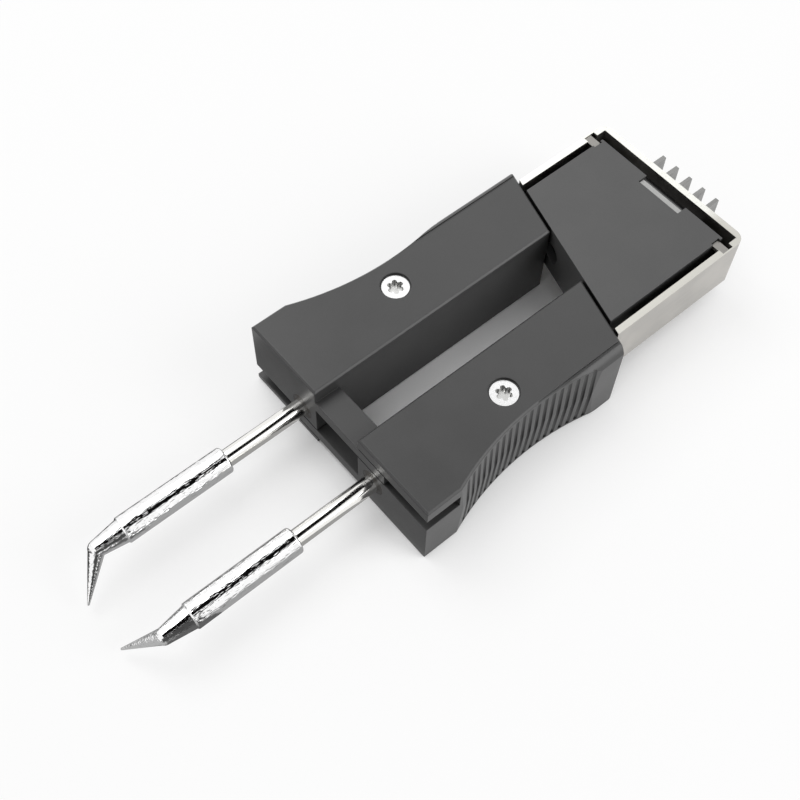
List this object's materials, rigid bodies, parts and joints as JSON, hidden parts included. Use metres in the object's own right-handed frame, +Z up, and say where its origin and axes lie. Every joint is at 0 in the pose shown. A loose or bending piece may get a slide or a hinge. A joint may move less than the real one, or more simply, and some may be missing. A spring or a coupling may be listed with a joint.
{
  "type": "soldering tweezers",
  "caption": "Plug-in soldering tweezers: hinged moulded arms with ribbed finger grips, each holding a heated cartridge with a bent point, sprung open on a metal-shelled plug.",
  "frame": {"origin": "under the middle of the bounding box, on the surface that the tool lies on", "axes": "+X towards the plug contacts, +Y towards the arm with the upper tongue, +Z up"},
  "size_m": [0.1502, 0.0516, 0.0185],
  "materials": {
    "arm_plastic": "fine spark-eroded matte",
    "body_plastic": "fine spark-eroded matte",
    "base_plastic": "matte",
    "bush": "matte, heat-stained",
    "polished_steel": "polished",
    "tinned_steel": "tinned, uneven",
    "screw_steel": "bright zinc",
    "pin_steel": "ground",
    "spring_steel": "bright wire",
    "clip_steel": "bright strip",
    "shell_metal": "tinned sheet, satin",
    "contact_metal": "tinned strip, satin",
    "brass": "machined",
    "insulator": "glazed",
    "socket_plastic": "moulded",
    "lead_cover": "silicone",
    "board": "lacquered",
    "terminal": "moulded"
  },
  "bodies": {
    "plug": {"plug_body": "body_plastic", "plug_base": "base_plastic", "plug_screws": "screw_steel", "connector_shell": "shell_metal", "latch_clip": "clip_steel", "contact_board": "board", "lead_terminals": "terminal", "blade_header": "base_plastic", "blade_contacts": "contact_metal", "right_hinge_pin": "pin_steel", "left_hinge_pin": "pin_steel", "right_return_spring": "spring_steel", "left_return_spring": "spring_steel"},
    "right_arm": {"right_arm_shell": "arm_plastic", "right_arm_cover": "arm_plastic", "right_front_bush": "bush", "right_cartridge_tube": "polished_steel", "right_cartridge_tip": "tinned_steel", "right_cartridge_insulator": "insulator", "right_cartridge_contact": "brass", "right_socket": "socket_plastic", "right_socket_clips": "brass", "right_arm_screw": "screw_steel", "right_screw_insert": "brass", "right_heater_leads": "lead_cover"},
    "left_arm": {"left_arm_shell": "arm_plastic", "left_arm_cover": "arm_plastic", "left_front_bush": "bush", "left_cartridge_tube": "polished_steel", "left_cartridge_tip": "tinned_steel", "left_cartridge_insulator": "insulator", "left_cartridge_contact": "brass", "left_socket": "socket_plastic", "left_socket_clips": "brass", "left_arm_screw": "screw_steel", "left_screw_insert": "brass", "left_heater_leads": "lead_cover"}
  },
  "joints": [
    {"name": "right_hinge", "type": "hinge", "parent": "plug", "child": "right_arm", "pos_m": [0.02908, 0.0115, 0.0095], "axis": [0, 0, 1], "range_deg": [0, 2.75], "stiffness_Nm_per_rad": 0.8},
    {"name": "left_hinge", "type": "hinge", "parent": "plug", "child": "left_arm", "pos_m": [0.02908, -0.0115, 0.0095], "axis": [0, 0, -1], "range_deg": [0, 2.75], "stiffness_Nm_per_rad": 0.8}
  ]
}
